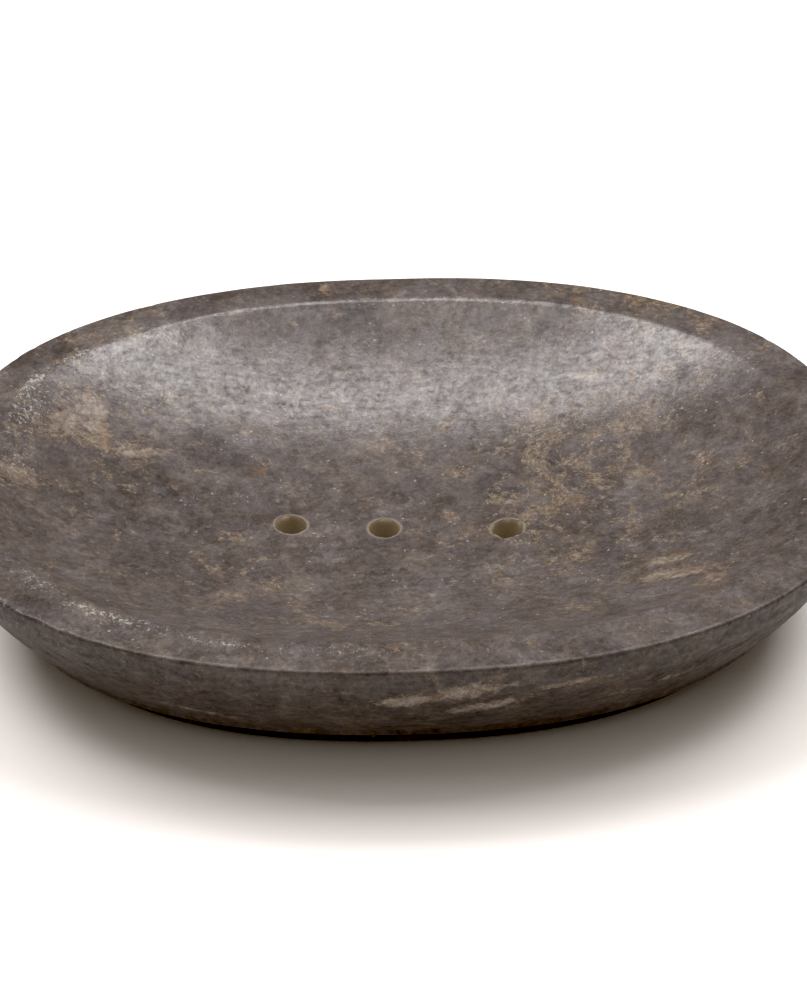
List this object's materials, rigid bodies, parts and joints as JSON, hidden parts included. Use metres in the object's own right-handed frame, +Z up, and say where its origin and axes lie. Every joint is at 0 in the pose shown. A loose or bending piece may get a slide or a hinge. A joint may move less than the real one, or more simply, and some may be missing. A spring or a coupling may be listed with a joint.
{
  "type": "soap dish",
  "caption": "Oval carved marble soap dish: a shallow bowl with a flat rim, a row of drain holes and a recessed foot ring on non-slip pads, for keeping a shaving or hand soap drained.",
  "frame": {"origin": "on the surface the dish stands on, under the middle of its oval outline", "axes": "+X along the oval's long axis, +Y across it towards the back, +Z up out of the bowl"},
  "size_m": [0.145, 0.11, 0.0265],
  "materials": {
    "marble": "satin polished dark grey-brown marble with beige and ochre veins and patches",
    "pad_rubber": "matt black"
  },
  "bodies": {
    "root": {"stone_dish": "marble", "foot_pad_front_left": "pad_rubber", "foot_pad_front_right": "pad_rubber", "foot_pad_back_left": "pad_rubber", "foot_pad_back_right": "pad_rubber"}
  },
  "joints": []
}
